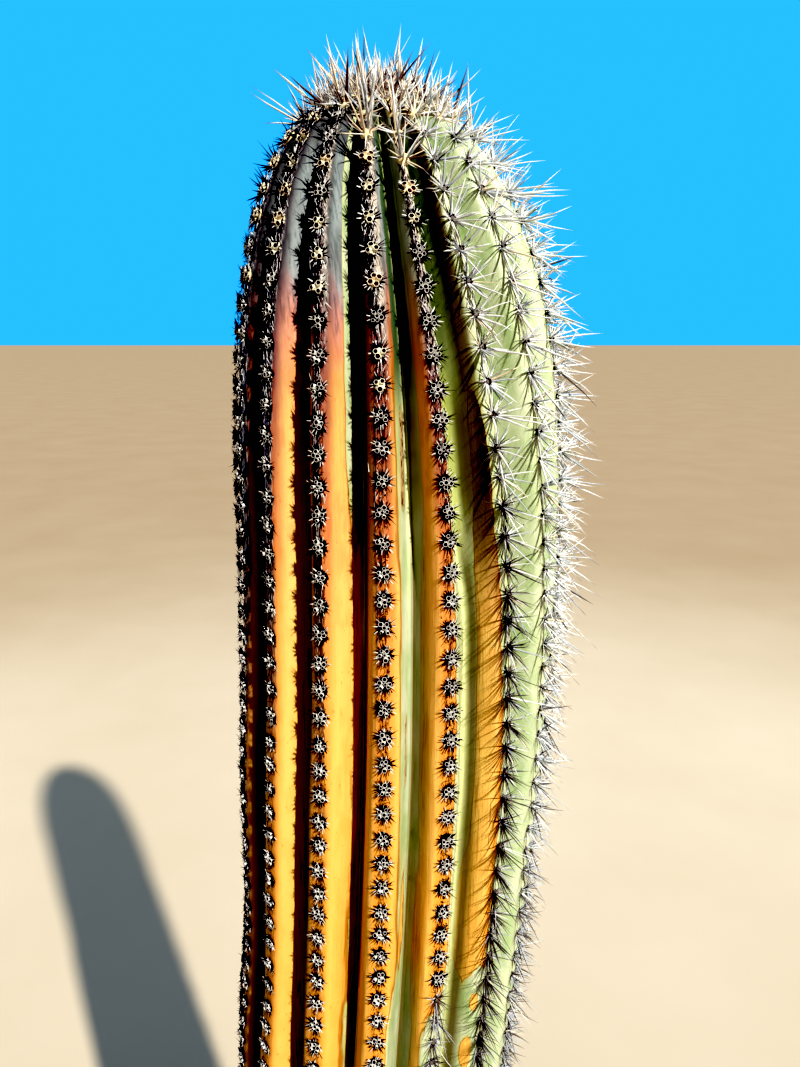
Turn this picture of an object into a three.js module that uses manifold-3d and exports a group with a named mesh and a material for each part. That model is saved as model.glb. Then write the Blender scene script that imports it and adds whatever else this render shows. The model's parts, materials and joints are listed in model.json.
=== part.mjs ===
// Young saguaro column, one side scorched by fire: a ribbed, slightly leaning stem, one row of
// spine cushions along each rib, and a tuft of spines on the crown.
// Millimetres, +Z up, front towards -Y. The origin is the middle of the flat cut at ground level.
import * as THREE from 'three';
import { mergeVertices } from 'three/addons/utils/BufferGeometryUtils.js';
import Module from 'manifold-3d';

const wasm = await Module();
wasm.setup();

// Height and girth of the stem
const seatHeight = 1768;          // flat seat of the crown tuft
const domeTop = 1776;             // where the dome's curve would close
const shoulderHeight = 1400;      // the column starts to round over
const domeFullness = 2.7;
const domeBluntness = 2.5;
const crestRadius = 125;          // axis to rib crest at the widest
const footShare = 0.8;            // girth at the foot as a share of the widest
const taperHeight = 1350;         // height at which the stem is widest
const flareReach = 10;            // extra radius of the root flare at the ground
const flareHeight = 45;

// Lean: the axis swings to +X and comes back a little under the crown
const leanReach = 52;
const leanHeight = 1490;
const leanPower = 2.4;

// Ribs
const ribCount = 18;
const ribTurn = 360 / ribCount;
const firstRibAzimuth = -5;       // degrees to the right of the front
const grooveDepth = 32;
const grooveAtFoot = 0.35;        // share of the depth that the corky foot keeps
const footHeight = 500;
const crestFlat = 0.115;          // places across a rib, as shares of the rib's turn
const ribShoulder = 0.27;
const ribSection = [-ribShoulder, -crestFlat, crestFlat, ribShoulder, 0.5];
const crownSwing = -13.5;         // degrees the ribs right of the front turn back under the crown
const crownSwingMiddle = 47;
const crownSwingTurn = 36;
const crownSwingHeights = [1430, 1740];
const frontSwing = 2;             // the ribs left of the front bow to the right below the crown
const frontSwingMiddle = -14;
const frontSwingTurn = 14;
const frontSwingHeight = 1600;
const frontSwingReach = 75;
const grooveSwing = -3.5;         // degrees that one groove lies off the middle between its ribs
const grooveSwingMiddle = 25;
const grooveSwingHeights = [1400, 1500];
const footSpread = 13;            // the front ribs stand wider apart lower down
const footSpreadMiddle = -37;
const footSpreadTurn = 60;
const footSpreadHeights = [1000, 1600];
const sideSwing = 8.6;            // the ribs on the right stand further round below the shoulder
const sideSwingMiddle = 55;
const sideSwingTurn = 28;
const sideSwingHeights = [1280, 1520];
const waist = 4.5;                // the stem is a little slimmer on its left side at one height
const waistMiddle = -75;
const waistTurn = 40;
const waistHeight = 1120;
const waistReach = 80;
const leftSharpness = [7, 4.5];    // power of a rib's section, low and high on the stem
const rightSharpness = [4, 3];
const sharpnessHeights = [1150, 1500];
const grooveChanges = [[5, -0.22, 0], [25, -0.26, 0]];   // even turn, change of depth low and high
const grooveChangeTurn = 9;
const grooveChangeHeights = [1420, 1520];

// Scorched side, degrees to the right of the front
const scorchMiddle = -65;
const scorchHalfTurn = 90;
const lowScorchHalfTurn = 70;     // the scorch is narrower below this height
const lowScorchHeight = 1120;

// Spine rows
const clearance = 0.4;            // air between a row and its rib
const cushionPitch = 100;         // every fifth real cushion
const cushionHalfWidth = 7;
const cushionHeight = 6.5;
const linkHalfWidth = 3;
const linkHeight = 2.5;
const rowShareOfRib = 0.36;       // widest a row may be near the crown
const firstCushionHeight = 40;
const spineRadius = 2;
const spineRoot = 3;              // how far above the row's underside a spine is rooted
const spineLength = 50;
const longPair = [[-0.4, -0.15, 1], [0.5, 0.45, 0.75]];    // rise, sideways, share of the length
const crossPair = [[0.25, 0.1, 0.9], [-0.3, -0.5, 0.75]];
const bareCrownRadius = 66;       // above this rib radius the rows carry no long spines

// Crown tuft
const tuftRadius = 34;
const tuftHeight = 12;
const tuftSpines = 64;
const tuftSpineLength = 46;
const tuftSplay = 58;             // degrees from upright at the rim
const goldenTurn = 137.508;

const radians = THREE.MathUtils.degToRad;

// Repeatable random numbers between 0 and 1
function seeded(seed) {
  let state = seed;
  return () => {
    state = (state * 1664525 + 1013904223) % 4294967296;
    return state / 4294967296;
  };
}

function stemRadius(z) {
  const taper = footShare + (1 - footShare) * Math.sin(radians(90) * Math.min(z / taperHeight, 1));
  const rise = Math.max(0, (z - shoulderHeight) / (domeTop - shoulderHeight));
  const dome = (1 - rise ** domeFullness) ** (1 / domeBluntness);
  return crestRadius * taper * dome + flareReach * Math.exp(-z / flareHeight);
}

function grooveAt(z, rib, share) {
  const foot = grooveAtFoot + (1 - grooveAtFoot) * THREE.MathUtils.smoothstep(z, 0, footHeight);
  let depth = grooveDepth * foot * Math.min(1, stemRadius(z) / crestRadius);
  const high = THREE.MathUtils.smoothstep(z, ...grooveChangeHeights);
  for (const [middle, lowChange, highChange] of grooveChanges) {
    const change = THREE.MathUtils.lerp(lowChange, highChange, high);
    depth *= 1 + change * bell(firstRibAzimuth + (rib + share) * ribTurn, middle, grooveChangeTurn);
  }
  const [low, top] = share < 0 ? leftSharpness : rightSharpness;
  const sharpness = THREE.MathUtils.lerp(low, top, THREE.MathUtils.smoothstep(z, ...sharpnessHeights));
  return depth * Math.abs(Math.sin(Math.PI * share)) ** sharpness;
}

function axisAt(z) {
  return leanReach * Math.sin(radians(90) * (z / leanHeight) ** leanPower);
}

// A point of the skin, share of a rib's width to the right of that rib's crest
function stemPoint(z, rib, share) {
  const crest = ribAzimuth(rib, z);
  const next = share < 0 ? crest - ribAzimuth(rib - 1, z) : ribAzimuth(rib + 1, z) - crest;
  const gap = THREE.MathUtils.euclideanModulo(next, 360);
  const off = bell(firstRibAzimuth + (rib + share) * ribTurn, grooveSwingMiddle, grooveChangeTurn)
    * Math.sin(Math.PI * share) ** 2 * THREE.MathUtils.smoothstep(z, ...grooveSwingHeights);
  const azimuth = crest + share * gap + grooveSwing * off;
  const turn = radians(azimuth);
  const slimmer = waist * bell(azimuth, waistMiddle, waistTurn) * bell(z, waistHeight, waistReach);
  const radius = stemRadius(z) - slimmer - grooveAt(z, rib, share);
  return new THREE.Vector3(axisAt(z) + radius * Math.sin(turn), -radius * Math.cos(turn), z);
}

function bell(x, middle, width) {
  return Math.exp(-(((x - middle) / width) ** 2));
}

// A rib's azimuth at a height: even at the shoulder, drifting above and below it
function ribAzimuth(rib, z = shoulderHeight) {
  const even = ((firstRibAzimuth + rib * ribTurn + 180) % 360) - 180;
  const high = THREE.MathUtils.smoothstep(z, ...crownSwingHeights);
  const low = 1 - THREE.MathUtils.smoothstep(z, ...footSpreadHeights);
  const offMiddle = even - footSpreadMiddle;
  const spread = Math.sin(radians(offMiddle)) * bell(even, footSpreadMiddle, footSpreadTurn);
  const side = 1 - THREE.MathUtils.smoothstep(z, ...sideSwingHeights);
  return even + high * crownSwing * bell(even, crownSwingMiddle, crownSwingTurn) + low * footSpread * spread
    + side * sideSwing * bell(even, sideSwingMiddle, sideSwingTurn)
    + frontSwing * bell(even, frontSwingMiddle, frontSwingTurn) * bell(z, frontSwingHeight, frontSwingReach);
}

// Heights of the stem's rings: close together in the flare, even up the column, closing up over the dome
function ringHeights() {
  const heights = [0, 30, 90, 250, 480, 710, 940, 1060, 1170, 1285, shoulderHeight];
  const domeRings = 11;
  for (let i = 1; i <= domeRings; i += 1) {
    const share = 1 - (1 - i / domeRings) ** 1.8;
    heights.push(shoulderHeight + (seatHeight - shoulderHeight) * share);
  }
  return heights;
}

const heights = ringHeights();

// A closed body through rings of points that all have the same count, counterclockwise seen from its end
function loft(rings) {
  const count = rings[0].length;
  const positions = rings.flat().flatMap((point) => point.toArray());
  const faces = [];
  for (let row = 0; row + 1 < rings.length; row += 1) {
    for (let i = 0; i < count; i += 1) {
      const a = row * count + i;
      const b = row * count + ((i + 1) % count);
      faces.push(a, b, b + count, a, b + count, a + count);
    }
  }
  for (const [first, isEnd] of [[0, false], [(rings.length - 1) * count, true]]) {
    const middle = new THREE.Vector3();
    for (let i = 0; i < count; i += 1) middle.addScaledVector(rings[first / count][i], 1 / count);
    positions.push(...middle.toArray());
    const hub = positions.length / 3 - 1;
    for (let i = 0; i < count; i += 1) {
      const next = first + ((i + 1) % count);
      faces.push(hub, ...(isEnd ? [first + i, next] : [next, first + i]));
    }
  }
  const geometry = new THREE.BufferGeometry();
  geometry.setAttribute('position', new THREE.Float32BufferAttribute(positions, 3));
  geometry.setIndex(faces);
  return geometry;
}

function toSolid(geometry) {
  const bare = geometry.clone();
  bare.deleteAttribute('normal');
  bare.deleteAttribute('uv');
  const merged = mergeVertices(bare, 1e-4);
  return new wasm.Manifold(new wasm.Mesh({
    numProp: 3,
    vertProperties: new Float32Array(merged.attributes.position.array),
    triVerts: new Uint32Array(merged.index.array),
  }));
}

function fuse(core, parts) {
  let solid = toSolid(core);
  for (const part of parts) solid = solid.add(toSolid(part));
  const mesh = solid.simplify(0.02).getMesh();
  const geometry = new THREE.BufferGeometry();
  geometry.setAttribute('position', new THREE.Float32BufferAttribute(mesh.vertProperties, 3));
  geometry.setIndex(Array.from(mesh.triVerts));
  return geometry;
}

// A three-sided spine from its root along a direction
function spine(root, direction, length, radius) {
  const cone = new THREE.ConeGeometry(radius, length, 3, 1);
  cone.translate(0, length / 2, 0);
  const upright = new THREE.Vector3(0, 1, 0);
  cone.applyQuaternion(new THREE.Quaternion().setFromUnitVectors(upright, direction.clone().normalize()));
  cone.translate(root.x, root.y, root.z);
  return cone;
}

function stemGeometry() {
  const rings = heights.map((z) => {
    const ring = [];
    for (let rib = 0; rib < ribCount; rib += 1) {
      for (const share of ribSection) ring.push(stemPoint(z, rib, share));
    }
    return ring;
  });
  return loft(rings);
}

// The line along a rib's crest facet, cut at the stem's rings and between them at even steps
function crestLine(rib) {
  const corners = heights.map((z) => {
    const left = stemPoint(z, rib, -crestFlat);
    const right = stemPoint(z, rib, crestFlat);
    return { middle: left.clone().lerp(right, 0.5), side: right.clone().sub(left).normalize(), z };
  });
  const outward = corners.slice(1).map((upper, i) => {
    const along = upper.middle.clone().sub(corners[i].middle).normalize();
    return corners[i].side.clone().cross(along).normalize();
  });
  const twists = corners.slice(1).map((upper, i) => corners[i].side.angleTo(upper.side));
  const line = [];
  for (let i = 0; i + 1 < corners.length; i += 1) {
    const [low, high] = [corners[i], corners[i + 1]];
    const steps = Math.max(1, Math.round(low.middle.distanceTo(high.middle) / (cushionPitch / 2)));
    for (let step = 0; step < steps; step += 1) {
      const normal = outward[i].clone();
      if (step === 0 && i > 0) normal.add(outward[i - 1]).normalize();
      line.push({
        middle: low.middle.clone().lerp(high.middle, step / steps),
        side: low.side.clone().lerp(high.side, step / steps).normalize(),
        z: THREE.MathUtils.lerp(low.z, high.z, step / steps),
        twist: step === 0 && i > 0 ? Math.max(twists[i], twists[i - 1]) : twists[i],
        normal,
      });
    }
  }
  const last = corners[corners.length - 1];
  line.push({ middle: last.middle, side: last.side, z: last.z, twist: 0, normal: outward[outward.length - 1] });
  return line;
}

function isScorched(azimuth, z = shoulderHeight) {
  const away = ((azimuth - scorchMiddle + 540) % 360) - 180;
  return Math.abs(away) < (z < lowScorchHeight ? lowScorchHalfTurn : scorchHalfTurn);
}

// A row: a three-sided strip along the crest that swells at each cushion, with long spines where it is sound
function spineRow(rib) {
  const random = seeded(100 + rib);
  const line = crestLine(rib);
  const spines = [];
  let reached = -Infinity;
  const rings = line.map((point, i) => {
    const ribWidth = radians(ribTurn) * stemRadius(point.z);
    const along = point.side.clone().cross(point.normal).negate();
    const isCushion = point.z > firstCushionHeight && i % 2 === 0 && i + 1 < line.length;
    const halfWidth = Math.min(isCushion ? cushionHalfWidth : linkHalfWidth, rowShareOfRib * ribWidth);
    const height = isCushion ? cushionHeight : linkHeight;
    const raised = clearance + point.twist * halfWidth;
    const foot = point.middle.clone().addScaledVector(point.normal, raised);
    const isSpaced = point.z - reached > 0.8 * cushionPitch;
    const isSound = !isScorched(ribAzimuth(rib), point.z) && stemRadius(point.z) > bareCrownRadius;
    if (isCushion && isSpaced && isSound) {
      reached = point.z;
      const root = foot.clone().addScaledVector(point.normal, spineRoot);
      const turn = i % 4 === 0 ? 1 : -1;
      for (const [rise, sideways, share] of turn > 0 ? longPair : crossPair) {
        const direction = point.normal.clone()
          .addScaledVector(along, rise + 0.2 * (random() - 0.5))
          .addScaledVector(point.side, turn * sideways);
        spines.push(spine(root, direction, spineLength * share * (0.9 + 0.1 * random()), spineRadius));
      }
    }
    return [
      foot.clone().addScaledVector(point.side, -halfWidth),
      foot.clone().addScaledVector(point.normal, height),
      foot.clone().addScaledVector(point.side, halfWidth),
    ];
  });
  return fuse(loft(rings), spines);
}

// The woolly seat and its splayed spines, set out on a golden-angle spiral
function crownGeometry() {
  const random = seeded(7);
  const profile = [[0, 0], [1, 0], [1, 0.35], [0.72, 0.8], [0.35, 0.97], [0, 1]]
    .map(([across, up]) => new THREE.Vector2(across * tuftRadius, up * tuftHeight));
  const core = new THREE.LatheGeometry(profile, 12);
  core.rotateX(radians(90));
  const base = new THREE.Vector3(axisAt(seatHeight), 0, seatHeight + clearance);
  core.translate(base.x, base.y, base.z);
  const spines = [];
  for (let i = 0; i < tuftSpines; i += 1) {
    const share = Math.sqrt((i + 0.5) / tuftSpines);
    const turn = radians(i * goldenTurn);
    const splay = radians(tuftSplay) * (0.85 * share + 0.15 * random());
    const outward = new THREE.Vector3(Math.sin(turn), -Math.cos(turn), 0);
    const root = base.clone().addScaledVector(outward, share * tuftRadius * 0.82);
    root.z += tuftHeight * (0.72 - 0.45 * share ** 2);
    const direction = outward.clone().multiplyScalar(Math.sin(splay));
    direction.z = Math.cos(splay);
    spines.push(spine(root, direction, tuftSpineLength * (0.72 + 0.28 * random()), spineRadius));
  }
  return fuse(core, spines);
}

function addMesh(group, name, geometry, color, roughness) {
  const material = new THREE.MeshStandardMaterial({ color, roughness, metalness: 0 });
  const mesh = new THREE.Mesh(geometry, material);
  mesh.name = name;
  group.add(mesh);
}

const saguaro = new THREE.Group();
addMesh(saguaro, 'stem', stemGeometry(), '#c9a545', 0.5);
addMesh(saguaro, 'crown_spines', crownGeometry(), '#b9a88a', 0.7);
for (let rib = 0; rib < ribCount; rib += 1) {
  const color = isScorched(ribAzimuth(rib)) ? '#4a423b' : '#dcdccf';
  addMesh(saguaro, `rib_${String(rib + 1).padStart(2, '0')}_spines`, spineRow(rib), color, 0.6);
}

export default saguaro;
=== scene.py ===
# Young saguaro column with one side scorched by fire: ribbed skin, rows of cushions and spines, spiny crown
import json
import math
import bpy
import numpy as np
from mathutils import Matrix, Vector


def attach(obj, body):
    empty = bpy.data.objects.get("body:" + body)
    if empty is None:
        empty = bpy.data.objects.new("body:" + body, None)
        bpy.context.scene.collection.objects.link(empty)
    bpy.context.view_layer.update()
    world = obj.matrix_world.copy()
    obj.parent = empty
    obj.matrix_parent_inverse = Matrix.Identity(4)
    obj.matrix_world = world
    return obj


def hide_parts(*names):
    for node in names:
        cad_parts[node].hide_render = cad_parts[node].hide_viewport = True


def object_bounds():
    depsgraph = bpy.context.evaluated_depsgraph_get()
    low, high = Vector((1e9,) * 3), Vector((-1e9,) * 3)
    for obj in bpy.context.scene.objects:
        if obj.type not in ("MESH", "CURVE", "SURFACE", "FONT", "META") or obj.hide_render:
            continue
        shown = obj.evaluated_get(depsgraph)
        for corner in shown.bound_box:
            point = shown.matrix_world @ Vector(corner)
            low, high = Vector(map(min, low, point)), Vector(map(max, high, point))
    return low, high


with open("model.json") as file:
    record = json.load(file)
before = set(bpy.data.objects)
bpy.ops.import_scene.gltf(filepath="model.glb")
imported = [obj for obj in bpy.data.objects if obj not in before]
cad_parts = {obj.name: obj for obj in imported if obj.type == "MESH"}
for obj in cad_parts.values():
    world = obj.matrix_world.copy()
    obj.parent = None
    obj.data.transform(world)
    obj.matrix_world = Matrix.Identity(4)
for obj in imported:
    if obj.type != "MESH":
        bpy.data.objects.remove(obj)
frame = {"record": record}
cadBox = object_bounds()
print("frame loaded")

# metres and degrees; azimuths count to the right from the front, which is -Y
stem = {
    "domeTop": 1.768,
    "shoulderHeight": 1.400,
    "domeFullness": 3.0,
    "domeBluntness": 2.5,
    "crestRadius": 0.125,
    "footShare": 0.8,
    "taperHeight": 1.350,
    "flareReach": 0.010,
    "flareHeight": 0.045,
    "leanReach": 0.052,
    "leanHeight": 1.490,
    "leanPower": 2.4,
    "ribCount": 18,
    "firstRib": -5.0,
    "grooveDepth": 0.032,
    "grooveAtFoot": 0.35,
    "footHeight": 0.500,
    "crownSwing": -13.5,
    "crownSwingMiddle": 47.0,
    "crownSwingTurn": 36.0,
    "crownSwingHeights": (1.430, 1.740),
    "frontSwing": 2.0,
    "frontSwingMiddle": -14.0,
    "frontSwingTurn": 14.0,
    "frontSwingHeight": 1.600,
    "frontSwingReach": 0.075,
    "grooveSwing": -3.5,
    "grooveSwingMiddle": 25.0,
    "grooveSwingHeights": (1.400, 1.500),
    "footSpread": 13.0,
    "footSpreadMiddle": -37.0,
    "footSpreadTurn": 60.0,
    "footSpreadHeights": (1.000, 1.600),
    "sideSwing": 8.6,
    "sideSwingMiddle": 55.0,
    "sideSwingTurn": 28.0,
    "sideSwingHeights": (1.280, 1.520),
    "waist": 0.0045,
    "waistMiddle": -75.0,
    "waistTurn": 40.0,
    "waistHeight": 1.120,
    "waistReach": 0.080,
    "leftSharpness": (7.0, 4.5),  # power of the section, low and high on the stem
    "rightSharpness": (4.0, 2.3),
    "sharpnessHeights": (1.150, 1.500),
    # turn of a groove, and the change of its depth low and high
    "grooveChanges": ((5.0, -0.22, 0.0), (25.0, -0.26, 0.14)),
    "grooveChangeTurn": 9.0,
    "grooveChangeHeights": (1.420, 1.520),
}

scorch = {
    "middle": -65.0,  # where the heat came from
    # how far round a crest it reached, by the crest's turn from there
    "reachByTurn": ((60.0, 0.84), (80.0, 0.44), (100.0, -0.05), (115.0, -1.5)),
    "scorchedTurn": 92.0,  # crests up to this far from the middle lost their spines
    "narrowHeights": (1.085, 1.150),  # below this the scorch is narrower
    "narrowTurn": 25.0,
    "leeShelter": 0.48,  # shelter on the flank turned away, from a share of the rib's width on
    "leeFrom": 0.26,
    "leeHigher": 1.3,  # how much more of it high up
    "leeHeights": (1.48, 1.66),
    "bottomShelter": 2.3,  # shelter in the very bottom of a groove
    "bottomShares": (0.42, 0.50),
    "edgeShelter": 2.6,  # on the ribs at the edge of the scorch the bottom is sheltered wider
    "edgeShares": (0.33, 0.45),
    "edgeTurns": (62.0, 80.0),
    "edgeWider": 0.08,  # and wider still high up
    "edgeHeights": (1.42, 1.52),
    "charHeight": 1.585,  # above this the skin is charred
    "charFade": 0.06,
}

# spared or scorched patches: rib, place across it, height, half width, half height, change of exposure
patches = (
    (0, 0.34, 1.390, 0.070, 0.130, -1.0),
    (2, -0.43, 1.190, 0.050, 0.085, 1.8),
    (2, -0.26, 1.670, 0.160, 0.070, -2.6),
    (17, 0.37, 1.620, 0.070, 0.090, -2.6),
    (2, -0.40, 1.150, 0.090, 0.045, 1.8),
    (2, -0.13, 1.290, 0.080, 0.130, 0.7),
    (2, -0.10, 1.190, 0.060, 0.100, 1.2),
    (2, -0.25, 1.165, 0.140, 0.032, 1.5),
    (2, -0.20, 1.098, 0.070, 0.011, 2.4),
    (2, -0.24, 1.048, 0.070, 0.016, 2.6),
    (2, -0.20, 0.985, 0.10, 0.022, 2.4),
    (2, -0.24, 0.890, 0.10, 0.020, 2.0),
    (1, -0.40, 1.240, 0.07, 0.030, -1.2),
    (0, 0.40, 1.180, 0.06, 0.050, 0.6),
    (11, 0.25, 0.980, 0.18, 0.040, 1.6),
    (10, 0.10, 0.640, 0.16, 0.030, 1.8),
)


def smoothStep(x, low, high):
    t = np.clip((x - low) / (high - low), 0.0, 1.0)
    return t * t * (3.0 - 2.0 * t)


def bell(x, middle, width):
    return np.exp(-(((x - middle) / width) ** 2))


def between(low, high, share):
    return low + (high - low) * share


def unit(vectors):
    return vectors / np.maximum(np.linalg.norm(vectors, axis=-1, keepdims=True), 1e-9)


def stemRadius(z):
    taper = between(stem["footShare"], 1, np.sin(np.pi / 2 * np.minimum(z / stem["taperHeight"], 1)))
    rise = np.clip((z - stem["shoulderHeight"]) / (stem["domeTop"] - stem["shoulderHeight"]), 0, 1)
    dome = (1 - rise ** stem["domeFullness"]) ** (1 / stem["domeBluntness"])
    return stem["crestRadius"] * taper * dome + stem["flareReach"] * np.exp(-z / stem["flareHeight"])


def axisAt(z):
    return stem["leanReach"] * np.sin(np.pi / 2 * (z / stem["leanHeight"]) ** stem["leanPower"])


def wrapped(degrees):
    return np.mod(degrees + 180.0, 360.0) - 180.0


def evenTurn(rib):
    return stem["firstRib"] + rib * 360.0 / stem["ribCount"]


def ribAzimuth(rib, z):
    even = wrapped(evenTurn(rib))
    high = smoothStep(z, *stem["crownSwingHeights"])
    low = 1 - smoothStep(z, *stem["footSpreadHeights"])
    beside = 1 - smoothStep(z, *stem["sideSwingHeights"])
    spread = np.sin(np.radians(even - stem["footSpreadMiddle"]))
    spread = spread * bell(even, stem["footSpreadMiddle"], stem["footSpreadTurn"])
    swing = high * stem["crownSwing"] * bell(even, stem["crownSwingMiddle"], stem["crownSwingTurn"])
    front = bell(even, stem["frontSwingMiddle"], stem["frontSwingTurn"])
    swing = swing + stem["frontSwing"] * front * bell(z, stem["frontSwingHeight"], stem["frontSwingReach"])
    swing = swing + beside * stem["sideSwing"] * bell(even, stem["sideSwingMiddle"], stem["sideSwingTurn"])
    return even + swing + low * stem["footSpread"] * spread


# the azimuth of a place on a rib, from -0.5 in the groove on its left to 0.5 in the groove on its right
def turnAt(rib, share, z):
    crest = ribAzimuth(rib, z)
    after = np.mod(ribAzimuth(rib + 1, z) - crest, 360.0)
    before = np.mod(crest - ribAzimuth(rib - 1, z), 360.0)
    groove = bell(evenTurn(rib + share), stem["grooveSwingMiddle"], stem["grooveChangeTurn"])
    groove = groove * np.sin(np.pi * share) ** 2 * smoothStep(z, *stem["grooveSwingHeights"])
    return crest + share * np.where(share < 0, before, after) + stem["grooveSwing"] * groove


relief = {  # sizes in metres, sides as shares of a rib's width
    "topFade": (0.010, 0.060),  # all of it dies out over this distance from the top
    "cushionPitch": 0.020,
    "cushionSwell": 0.0006,
    "cushionSide": 0.13,
    "crestWander": 0.0010,
    "wanderAlong": 14.0,
    "wanderSides": (0.30, 0.48),
    "flankWave": 0.0011,
    "waveAlong": 22.0,
    "waveAcross": 9.0,
    "waveSides": (0.08, 0.25),
    "driedFold": 0.00035,
    "foldAcross": 88.0,
    "foldAlong": 18.0,
    "foldBend": 2.5,
    "foldSides": (0.15, 0.30),
    "sunken": 0.0006,  # scorched skin lies lower than sound skin, with a rim between them
    "sunkenFrom": (-0.06, 0.08),
    "rim": 0.0005,
    "rimWidth": 0.10,
    "footFade": 0.2,  # both die out towards the ground
}


waves = {"count": 6, "pace": (0.6, 1.7), "quicker": 1.45, "weaker": 1.3, "phase": 6.28, "sum": 3.2}


# gentle repeatable unevenness between -1 and 1
def unevenness(x, y, seed):
    total = np.zeros(np.broadcast(x, y).shape)
    rng = np.random.default_rng(seed)
    for i in range(waves["count"]):
        fx, fy = rng.uniform(*waves["pace"], 2) * waves["quicker"] ** i
        place = x * fx + y * fy * rng.choice([-1, 1])
        total = total + np.sin(place + rng.uniform(0, waves["phase"])) / waves["weaker"] ** i
    return total / waves["sum"]


# every rib reads the unevenness at a place of its own
def reliefAt(rib, share, z, run):
    side = np.abs(share)
    swell = relief["cushionSwell"] * np.cos(2 * np.pi * run / relief["cushionPitch"] + rib)
    swell = swell * bell(share, 0, relief["cushionSide"])
    wander = relief["crestWander"] * unevenness(z * relief["wanderAlong"], rib * 2.1, 3)
    wander = wander * (1 - smoothStep(side, *relief["wanderSides"]))
    wave = unevenness(z * relief["waveAlong"] + rib * 5.0, share * relief["waveAcross"], 4)
    wave = relief["flankWave"] * wave * smoothStep(side, *relief["waveSides"])
    bend = relief["foldBend"] * unevenness(z * relief["foldAlong"], rib * 1.7, 5)
    fold = relief["driedFold"] * np.sin(share * relief["foldAcross"] + bend)
    fold = fold * smoothStep(side, *relief["foldSides"])
    return smoothStep(stem["domeTop"] - z, *relief["topFade"]) * (swell + wander + wave + fold)


def grooveAt(rib, share, z):
    foot = between(stem["grooveAtFoot"], 1, smoothStep(z, 0, stem["footHeight"]))
    depth = stem["grooveDepth"] * foot * np.minimum(1, stemRadius(z) / stem["crestRadius"])
    high = smoothStep(z, *stem["grooveChangeHeights"])
    for where, lowChange, highChange in stem["grooveChanges"]:
        near = bell(evenTurn(rib + share), where, stem["grooveChangeTurn"])
        depth = depth * (1 + between(lowChange, highChange, high) * near)
    high = smoothStep(z, *stem["sharpnessHeights"])
    left, right = between(*stem["leftSharpness"], high), between(*stem["rightSharpness"], high)
    return depth * np.abs(np.sin(np.pi * share)) ** np.where(share < 0, left, right)


# the stem is a little slimmer on its left side at one height
def waistAt(turn, z):
    side = bell(turn, stem["waistMiddle"], stem["waistTurn"])
    return stem["waist"] * side * bell(z, stem["waistHeight"], stem["waistReach"])


def skinPoint(rib, share, z, run):
    turn = turnAt(rib, share, z)
    radius = stemRadius(z) - waistAt(turn, z) - grooveAt(rib, share, z) + reliefAt(rib, share, z, run)
    turn = np.radians(turn)
    return np.stack([axisAt(z) + radius * np.sin(turn), -radius * np.cos(turn), z + 0 * radius], -1)


# heights on the stem's outline, finer towards the top, and the way up to them along it
def outlineHeights(steps=4000):
    shoulder, top = stem["shoulderHeight"], stem["domeTop"]
    rise = 1 - (1 - np.linspace(0, 1, steps)) ** 2
    z = np.concatenate([np.linspace(0, shoulder, steps)[:-1], shoulder + rise * (top - shoulder)])
    run = np.concatenate([[0], np.cumsum(np.hypot(np.diff(z), np.diff(stemRadius(z))))])
    return z, run


outlineZ, outlineRun = outlineHeights()


def heightAtRun(run):
    return np.interp(run, outlineRun, outlineZ)


def runAtHeight(z):
    return np.interp(z, outlineZ, outlineRun)


def meshFromArrays(name, points, quads, triangles, slots=None, smooth=True):
    mesh = bpy.data.meshes.new(name)
    corners = np.concatenate([quads.ravel(), triangles.ravel()]).astype(np.int32)
    sizes = np.concatenate([np.full(len(quads), 4), np.full(len(triangles), 3)])
    starts = np.concatenate([[0], np.cumsum(sizes)[:-1]]).astype(np.int32)
    mesh.vertices.add(len(points))
    mesh.vertices.foreach_set("co", points.astype(np.float32).ravel())
    mesh.loops.add(len(corners))
    mesh.loops.foreach_set("vertex_index", corners)
    mesh.polygons.add(len(sizes))
    mesh.polygons.foreach_set("loop_start", starts)
    mesh.polygons.foreach_set("use_smooth", np.full(len(sizes), smooth))
    if slots is not None:
        mesh.polygons.foreach_set("material_index", slots.astype(np.int32))
    mesh.update(calc_edges=True)
    return mesh


def addPiece(name, mesh, slot, nodes, *materials):
    piece = bpy.data.objects.new(name, mesh)
    bpy.context.scene.collection.objects.link(piece)
    for material in materials:
        mesh.materials.append(material)
    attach(piece, "root")
    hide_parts(*nodes)
    return piece


skin = {
    "columnsPerRib": 32,
    "upperFrom": 0.90,  # height of the ring where the finer upper part starts
    "upperStep": 0.0056,
    "lowerStep": 0.0100,
    "topGap": 0.0015,
}


def turnFromMiddle(rib):  # of the scorch, positive to the right
    return wrapped(ribAzimuth(rib, stem["shoulderHeight"]) - scorch["middle"])


def turnFromHeat(rib, z):
    narrower = scorch["narrowTurn"] * (1 - smoothStep(z, *scorch["narrowHeights"]))
    return np.abs(turnFromMiddle(rib)) + narrower


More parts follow.
